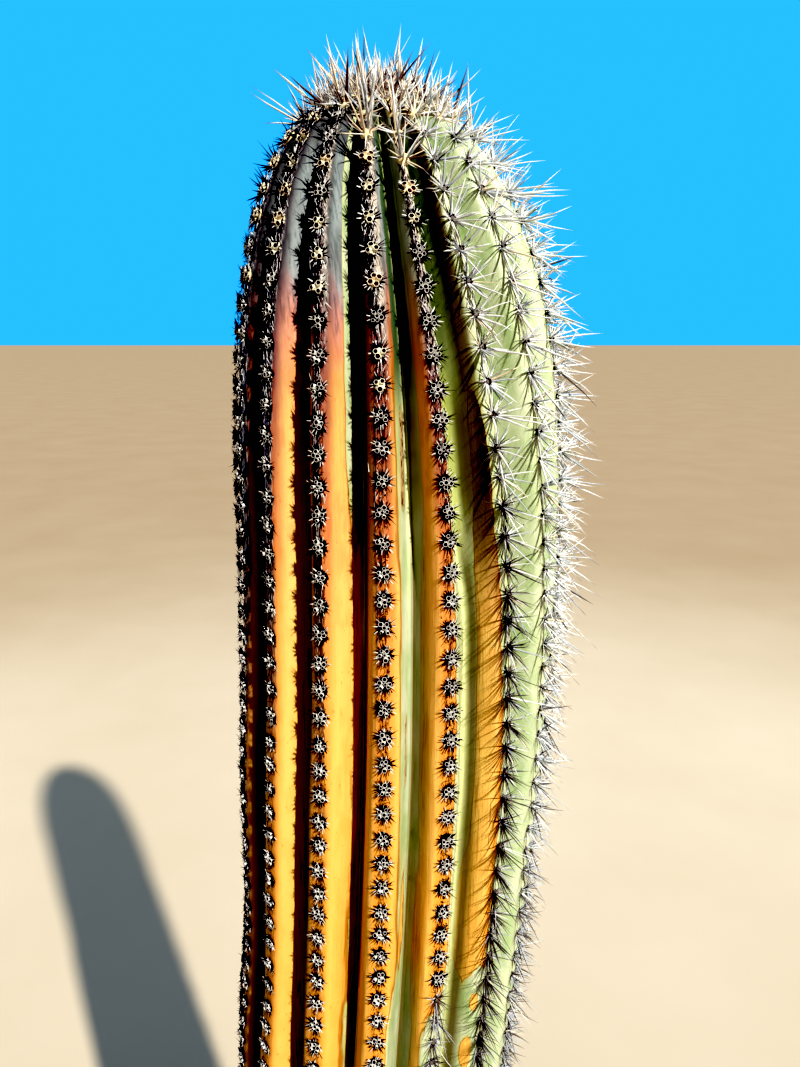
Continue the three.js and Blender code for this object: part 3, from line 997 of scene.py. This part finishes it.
# shortens the spines that would leave the space round the solids or reach the ground
def keptInside(roots, ways, lengths):
    low, high = (np.array(corner) for corner in cadBox)
    room = (high - low) * allowed["share"] + allowed["proud"]
    low, high = low - room, high + room
    low[2] = allowed["ground"]
    for axis in range(3):
        for way, limit in ((ways[:, axis] > 1e-6, high[axis]), (ways[:, axis] < -1e-6, low[axis])):
            most = np.where(way, (limit - roots[:, axis]) / np.where(way, ways[:, axis], 1), 1.0)
            lengths = np.minimum(lengths, np.maximum(most, allowed["shortest"]))
    return lengths


burntRows, soundRows = [], []
for entry in frame["record"]["subparts"]:
    if entry["material_slot"] == "burnt_row":
        burntRows.append(entry["node"])
    if entry["material_slot"] == "sound_row":
        soundRows.append(entry["node"])
edgeRows = ["rib_02_spines", "rib_12_spines"]  # scorched above, sound below
onBurnt, onSound = ("burnt_row", burntRows), ("sound_row", soundRows + edgeRows)
onCrown = ("crown", ["crown_spines"])

pads = {"sides": 8, "sizes": (0.88, 1.12), "unevenness": (0.86, 1.14)}


# domes of felt, one for each cushion picked
def addPads(name, which, width, tall, seed, row, tone):
    rng = np.random.default_rng(seed)
    count, sides = len(which), pads["sides"]
    size = rng.uniform(*pads["sizes"], count)
    uneven = rng.uniform(*pads["unevenness"], (count, sides))
    roots, ways, straight = cushions["point"][which], cushions["out"][which], np.zeros((count, 3))
    mesh = turnedMesh(name, "pad", roots, ways, tall * size, width * size, straight, sides, uneven)
    return addPiece(name, mesh, *row, small[tone])


# where things stand on their cushions: a distance from its middle towards a turn, and a height above the skin
def standing(which, turn, away, above):
    flat = aimed(which, np.full(len(which), 90.0), turn)
    return cushions["point"][which] + flat * np.reshape(away, (-1, 1)) + cushions["out"][which] * above


# each picked cushion as often as things stand on it, and their turns, evenly spread but for a jitter
def spreadOn(rng, picked, each, jitter):
    turn = np.tile(np.arange(each) * 360 / each, len(picked))
    return np.repeat(picked, each), turn + rng.uniform(-jitter, jitter, len(turn))


# roots, ways, lengths, radii and bends of the things of one kind
def grown(rng, which, turn, roots, kind, longer=1, wider=1, girth=(0.8, 1.2), bend=0.07):
    count = len(which)
    ways = aimed(which, rng.uniform(*kind["lean"], count), turn)
    length = keptInside(roots, ways, rng.uniform(*kind["length"], count) * longer)
    radii = kind["radius"] * rng.uniform(*girth, count) * wider
    return roots, ways, length, radii, sway(rng, count, bend)


burntRow = {
    "padWidth": 0.0050,
    "padHeight": 0.0013,
    "pads": {  # times as wide, seed and felt
        "burnt": (1.0, 1, "charFelt"),
        "cream": (1.04, 2, "creamFelt"),
        "white": (0.80, 5, "whiteStub"),
    },
    "highFade": (-0.02, 0.07),  # how unevenly the pale cushions begin at the char
    "creamShare": 0.74,  # of the cushions on the charred part
    "tanShare": 0.40,  # of the pale cushions
    "butts": {  # their cushions, how many in the ring and in its middle, the ring's radius, what lines them
        "ash": ("burnt", 5, 1, 0.0027, "hollow"),
        "white": ("white", 3, 0, 0.0021, "hollow"),
        "cream": ("cream", 4, 0, 0.0026, "rustHollow"),
    },
    "buttRadius": {"ash": (0.00115, 0.00195), "white": (0.00175, 0.00225), "cream": (0.00190, 0.00230)},
    "buttHeight": {"ash": (0.0018, 0.0031), "white": (0.0022, 0.0030), "cream": (0.0020, 0.0028)},
    "buttLean": (17.0, 3.0),  # in the ring and in the middle
    "buttTilt": 12.0,
    "buttJitter": 20.0,
    "buttAway": (0.82, 1.16),
    "middleAway": 0.1,
    "buttAbove": 0.0004,
    "buttSides": 6,
    "stubs": 20,
    "stubJitter": 13.0,
    "stubRing": (0.0034, 0.0046),
    "stubLength": (0.0028, 0.0052),
    "stubRadius": 0.00056,
    "stubLean": (52, 86),
    "stubGirth": (0.75, 1.25),
    "stubBend": 0.05,
    "above": 0.0008,  # how far stubs and needles stand above the skin
    "ashShare": 0.54,
    "pricks": 17,
    "prickLength": (0.0050, 0.0085),
    "prickRadius": 0.00048,
    "prickLean": (58, 84),
    "prickGirth": (0.8, 1.2),
    "prickBend": 0.12,
    "prickRing": 0.0030,
    "highLength": (0.009, 0.014),  # longer black spines on the charred shoulder
    "highGirth": 1.4,
    "highLean": (20, 75),
    "highFrom": 1.700,
    "highShare": 0.42,
    "between": {"count": 8, "length": (0.0022, 0.0042), "lean": (35, 80), "radius": 0.00030},  # on the crest
    "slivers": {"count": 7, "length": (0.0035, 0.0080), "lean": (80, 89), "radius": 0.00036},  # lying there
    "sliversFrom": (1.46, 1.60),
    "sliverStray": 22,  # degrees from the rib's way
    "crestRise": (0.0045, 0.0125),  # their way from the cushion up or down the crest
    "crestSide": 0.0024,
    "crestAbove": 0.0002,
}


def makeBurntRows():
    rng = np.random.default_rng(21)
    row, height = burntRow, cushions["z"]
    picked = np.flatnonzero(cushions["scorched"] & ~cushions["crown"])
    isHigh = height > scorch["charHeight"] + rng.uniform(*row["highFade"], len(height))
    isHigh &= rng.uniform(0, 1, len(height)) < row["creamShare"]
    isTan = isHigh & (rng.uniform(0, 1, len(height)) < row["tanShare"])
    groups = {"burnt": ~isHigh, "cream": isTan, "white": isHigh & ~isTan}
    groups = {name: picked[isHere[picked]] for name, isHere in groups.items()}
    for name, (wider, seed, felt) in row["pads"].items():
        width, tall = row["padWidth"] * wider, row["padHeight"]
        addPads(name + "Cushions", groups[name], width, tall, seed, onBurnt, felt)

    # hollow butts of the middle spines, in a ring
    for tone, (group, inRing, inMiddle, ring, hollow) in row["butts"].items():
        some, each = groups[group], inRing + inMiddle
        which, place = np.repeat(some, each), np.tile(np.arange(each), len(some))
        count, isMiddle = len(which), place == inRing
        turn = place * 360 / inRing + np.repeat(rng.uniform(0, 360, len(some)), each)
        turn = turn + rng.uniform(-row["buttJitter"], row["buttJitter"], count)
        away = np.where(isMiddle, row["middleAway"], 1.0) * ring * rng.uniform(*row["buttAway"], count)
        lean = np.where(isMiddle, row["buttLean"][1], row["buttLean"][0])
        ways = aimed(which, lean + rng.uniform(-row["buttTilt"], row["buttTilt"], count), turn)
        tall = rng.uniform(*row["buttHeight"][tone], count)
        radii = rng.uniform(*row["buttRadius"][tone], count)
        roots, straight = standing(which, turn, away, row["buttAbove"]), np.zeros((count, 3))
        bodies, name = (roots, ways, tall, radii, straight), tone + "Butts"
        mesh = turnedMesh(name, "cup", *bodies, row["buttSides"], smooth=False)
        addPiece(name, mesh, *onBurnt, small[tone + "Stub"], small[hollow])

    # short stubs of the outer spines
    which, turn = spreadOn(rng, picked, row["stubs"], row["stubJitter"])
    count = len(which)
    roots = standing(which, turn, rng.uniform(*row["stubRing"], count), row["above"])
    ways = aimed(which, rng.uniform(*row["stubLean"], count), turn)
    length = rng.uniform(*row["stubLength"], count)
    radii = row["stubRadius"] * rng.uniform(*row["stubGirth"], count)
    isAsh = rng.uniform(0, 1, count) < row["ashShare"]
    bodies = (roots, ways, length, radii, sway(rng, count, row["stubBend"]))
    isPale = isHigh[which]
    addTurned("ashStubs", "stub", bodies, onBurnt, ("ashStub", "charStub"), kept=isAsh & ~isPale)
    addTurned("creamStubs", "stub", bodies, onBurnt, ("spineWhite", "charStub"), kept=isAsh & isPale)
    addTurned("charStubs", "stub", bodies, onBurnt, ("charStub", "charStub"), kept=~isAsh)

    # thin burnt needles that are left, longer and curved on the shoulder
    which = np.repeat(picked, row["pricks"])
    turn, isShoulder = rng.uniform(0, 360, len(which)), height[which] > row["highFrom"]
    kept = ~isShoulder | (turn % 1 < row["highShare"])
    which, turn, isShoulder = which[kept], turn[kept], isShoulder[kept]
    count = len(which)
    highLean, lean = rng.uniform(*row["highLean"], count), rng.uniform(*row["prickLean"], count)
    highLength, length = rng.uniform(*row["highLength"], count), rng.uniform(*row["prickLength"], count)
    radii = row["prickRadius"] * np.where(isShoulder, row["highGirth"], 1.0)
    radii = radii * rng.uniform(*row["prickGirth"], count)
    roots = standing(which, turn, row["prickRing"], row["above"])
    ways = aimed(which, np.where(isShoulder, highLean, lean), turn)
    length = keptInside(roots, ways, np.where(isShoulder, highLength, length))
    bodies = (roots, ways, length, radii, sway(rng, count, row["prickBend"]))
    addTurned("charNeedles", "prick", bodies, onBurnt, ("charStub",))

    # what stands and lies on the crest between the cushions
    for name, kind, tone in (("crestPricks", "between", "charStub"), ("ashSlivers", "slivers", "spineWhite")):
        value = row[kind]
        which = np.repeat(picked, value["count"])
        if kind == "slivers":
            chance = smoothStep(height[which], *row["sliversFrom"])
            which = which[rng.uniform(0, 1, len(which)) < chance]
        count = len(which)
        rise = rng.uniform(*row["crestRise"], count) * rng.choice([-1.0, 1.0], count)
        across = cushions["right"][which] * rng.normal(0, row["crestSide"], count)[:, None]
        roots = standing(which, np.zeros(count), rise, row["crestAbove"]) + across
        if kind == "slivers":  # up or down the rib
            turn = 90 - 90 * rng.choice([-1.0, 1.0], count) + rng.normal(0, row["sliverStray"], count)
        else:
            turn = rng.uniform(0, 360, count)
        bodies = grown(rng, which, turn, roots, value, girth=(0.7, 1.3), bend=0.08)
        addTurned(name, "prick", bodies, onBurnt, (tone,))


makeBurntRows()
print("scorched rows made")

soundRow = {
    "padWidth": 0.0028,
    "padHeight": 0.0018,
    "weatheredBelow": (1.15, 1.48),  # spines turn from white to grey between these heights
    # shares of the tones low and high, the rest is grey
    "shares": {"White": (0.14, 0.74), "Tan": (0.04, 0.06), "Dark": (0.38, 0.02)},
    "edgeShift": 0.12,  # how much higher on the row next to the scorch
    "lowLength": 0.72,  # low spines are worn shorter
    "lowGirth": 0.64,
    "foot": (0.0015, 0.0006),  # away from the cushion's middle and above the skin
    "jitter": 16.0,
    "downward": (180, 46),  # the middle spines' turn and its spread
    "outer": {"count": 21, "length": (0.008, 0.018), "lean": (48, 84), "radius": 0.00060},
    "inner": {"count": 9, "length": (0.014, 0.028), "lean": (14, 60), "radius": 0.00074},
    "middle": {"count": 3, "length": (0.026, 0.045), "lean": (22, 62), "radius": 0.00082},
    "form": {"outer": ("shortSpine", 3), "inner": ("spine", 4), "middle": ("spine", 4)},  # and how many sides
    "singed": {"count": 16, "length": (0.018, 0.039), "lean": (12, 66), "radius": 0.00048},
    "singedTurn": {2: 270.0, 12: 90.0},  # on the left of one row and on the right of the other
    "singedStray": 26,
    "singedFoot": (0.0018, 0.0006),
    "singedFade": (1.44, 1.58),
}


def makeSoundRows():
    rng = np.random.default_rng(31)
    row, rib, height = soundRow, cushions["rib"], cushions["z"]
    picked = np.flatnonzero(~cushions["scorched"] & ~cushions["crown"])
    addPads("soundCushions", picked, row["padWidth"], row["padHeight"], 3, onSound, "greyFelt")
    for kind, (shape, sides) in row["form"].items():
        value = row[kind]
        which, turn = spreadOn(rng, picked, value["count"], row["jitter"])
        count = len(which)
        turn = turn + np.repeat(rng.uniform(0, 360, len(picked)), value["count"])
        if kind == "middle":  # the longest point down
            turn = row["downward"][0] + rng.normal(0, row["downward"][1], count)
        high = smoothStep(height[which] - row["edgeShift"] * (rib[which] == 2), *row["weatheredBelow"])
        longer, wider = between(row["lowLength"], 1, high), between(row["lowGirth"], 1, high)
        bodies = grown(rng, which, turn, standing(which, turn, *row["foot"]), value, longer, wider)
        draw = rng.uniform(0, 1, count)
        tones, start = np.full(count, "Grey", dtype=object), np.zeros(count)
        for tone, shares in row["shares"].items():
            portion = between(*shares, high)
            tones[(draw >= start) & (draw < start + portion)] = tone
            start = start + portion
        for tone in ("White", "Grey", "Tan", "Dark"):
            name, materials = kind + "Spines" + tone, ("spine" + tone, "spineBase")
            addTurned(name, shape, bodies, onSound, materials, sides, tones == tone)

    # dark singed needles reaching over the scorched side of the two rows at its edge
    value = row["singed"]
    isEdge = np.isin(rib[picked], list(row["singedTurn"]))
    which = np.repeat(picked[isEdge], value["count"])
    which = which[rng.uniform(0, 1, len(which)) > smoothStep(height[which], *row["singedFade"])]
    turn = np.where(rib[which] == 2, row["singedTurn"][2], row["singedTurn"][12])
    turn = turn + rng.normal(0, row["singedStray"], len(which))
    bodies = grown(rng, which, turn, standing(which, turn, *row["singedFoot"]), value, bend=0.10)
    addTurned("singedSpines", "spine", bodies, onSound, ("spineDark", "spineBase"))


makeSoundRows()
print("sound rows made")

crown = {
    "woolWidth": 0.0040,
    "woolHeight": 0.0030,
    "lift": 0.16,  # how far the spines straighten up
    "foot": (0.0016, 0.0006),
    "girth": (0.75, 1.2),
    "bend": 0.07,
    "jitter": 25.0,
    "tones": (("Tan", 0.36), ("White", 0.37), ("Grey", 0.13), ("Brown", 0.14)),
    "low": {"count": 13, "length": (0.010, 0.019), "lean": (48, 86), "radius": 0.00062},
    "inner": {"count": 7, "length": (0.015, 0.029), "lean": (8, 56), "radius": 0.00076},
    "tall": {"count": 1, "length": (0.028, 0.046), "lean": (4, 52), "radius": 0.00105},
}


def makeCrown():
    rng = np.random.default_rng(41)
    picked = np.flatnonzero(cushions["crown"])
    addPads("crownWool", picked, crown["woolWidth"], crown["woolHeight"], 4, onCrown, "creamFelt")
    for kind in ("low", "inner", "tall"):
        value = crown[kind]
        which, turn = spreadOn(rng, picked, value["count"], crown["jitter"])
        count = len(which)
        turn = turn + np.repeat(rng.uniform(0, 360, len(picked)), value["count"])
        ways = aimed(which, rng.uniform(*value["lean"], count), turn)
        ways = unit(ways + np.array([0, 0, crown["lift"] * (kind != "low")]))
        roots = standing(which, turn, *crown["foot"])
        length = keptInside(roots, ways, rng.uniform(*value["length"], count))
        radii = value["radius"] * rng.uniform(*crown["girth"], count)
        draw, start = rng.uniform(0, 1, count), 0.0
        bodies = (roots, ways, length, radii, sway(rng, count, crown["bend"]))
        for tone, portion in crown["tones"]:
            kept = (draw >= start) & (draw < start + portion)
            start += portion
            name, materials = kind + "CrownSpines" + tone, ("spine" + tone, "spineBrown")
            addTurned(name, "spine", bodies, onCrown, materials, 4, kept)


makeCrown()
print("crown made")

studio = {
    "focal": 800.0,  # in pixels of the photograph, which is 1067 high
    "photoHeight": 1067.0,
    "sensor": 36.0,
    "cameraAt": (0.053, -0.620, 1.610),
    "cameraTilt": 14.0,
    "aim": (0.04, 0.0, 1.20),  # what the lights are turned to
    # each light's turn to the right of the front, its rise, distance and power
    "keyLight": (31.0, 36.0, 6.0, 4.3),
    "keySoftness": 1.6,  # degrees across
    "keyColour": (1.0, 0.955, 0.89),
    "softLights": {"backLight": (155.0, 35.0, 4.0, 90.0), "leftLight": (-125.0, 10.0, 4.0, 34.0)},
    "softSize": 2.4,
    "softColour": (0.60, 0.78, 1.0),
    "skySeen": (0.105, 0.46, 0.86, 1.0),
    "skyCast": (0.48, 0.62, 1.0, 1.0),
    "skyPower": 0.030,
    "floorSide": 120.0,
    "floor": tint(212, 198, 174),
    "floorDark": tint(200, 184, 158),
    "black": (0.074, 0.074, 0.060),
}


# the way towards a light, from its turn to the right of the front and its rise
def wayTo(turn, rise):
    turn, rise = math.radians(turn), math.radians(rise)
    return Vector((math.sin(turn) * math.cos(rise), -math.cos(turn) * math.cos(rise), math.sin(rise)))


def addLight(name, kind, turn, rise, distance, power, colour):
    data = bpy.data.lights.new(name, kind)
    data.energy, data.color = power, colour
    light = bpy.data.objects.new(name, data)
    way = wayTo(turn, rise)
    light.location = Vector(studio["aim"]) + way * distance
    light.rotation_euler = way.to_track_quat("Z", "Y").to_euler()
    light.visible_camera = False
    bpy.context.scene.collection.objects.link(light)
    return data


def makeCamera():
    lens = bpy.data.cameras.new("camera")
    lens.lens = studio["sensor"] * studio["focal"] / studio["photoHeight"]
    lens.sensor_width = studio["sensor"]
    lens.clip_start = 0.01
    camera = bpy.data.objects.new("camera", lens)
    camera.location = studio["cameraAt"]
    camera.rotation_euler = (math.radians(90 - studio["cameraTilt"]), 0, 0)
    bpy.context.scene.collection.objects.link(camera)
    bpy.context.scene.camera = camera


def makeSky():
    world = bpy.data.worlds.new("sky")
    world.use_nodes = True
    tree = world.node_tree
    seen = tree.nodes["Background"]  # what the camera sees behind the plant
    seen.inputs["Color"].default_value = studio["skySeen"]
    seen.inputs["Strength"].default_value = 1.0
    cast = addNode(tree, "ShaderNodeBackground", None, Color=studio["skyCast"], Strength=studio["skyPower"])
    isCamera = tree.nodes.new("ShaderNodeLightPath").outputs["Is Camera Ray"]
    joined = addNode(tree, "ShaderNodeMixShader", None, i0=isCamera, i1=cast.outputs[0], i2=seen.outputs[0])
    tree.links.new(joined.outputs[0], tree.nodes["World Output"].inputs["Surface"])
    bpy.context.scene.world = world


def makeFloor():
    side = studio["floorSide"]
    corners = np.array([[-side, -side, 0], [side, -side, 0], [side, side, 0], [-side, side, 0]])
    mesh = meshFromArrays("floor", corners, np.array([[0, 1, 2, 3]]), np.zeros((0, 3), int), smooth=False)
    material, tree, surface, places = newMaterial("floorPaint", Roughness=0.9)
    tone = mixed(tree, noise(tree, places, 1.5), studio["floor"], studio["floorDark"])
    tree.links.new(tone, surface.inputs["Base Color"])
    floor = bpy.data.objects.new("floor", mesh)
    mesh.materials.append(material)
    bpy.context.scene.collection.objects.link(floor)


makeCamera()
keyLight = addLight("keyLight", "SUN", *studio["keyLight"], studio["keyColour"])
keyLight.angle = math.radians(studio["keySoftness"])
for name, place in studio["softLights"].items():
    softLight = addLight(name, "AREA", *place, studio["softColour"])
    softLight.shape, softLight.size = "DISK", studio["softSize"]
makeSky()
makeFloor()
view = bpy.context.scene.view_settings
view.view_transform = "Standard"
view.look = "High Contrast"
view.use_curve_mapping = True
view.curve_mapping.black_level = studio["black"]
view.curve_mapping.update()
bpy.context.view_layer.update()
print("studio made")
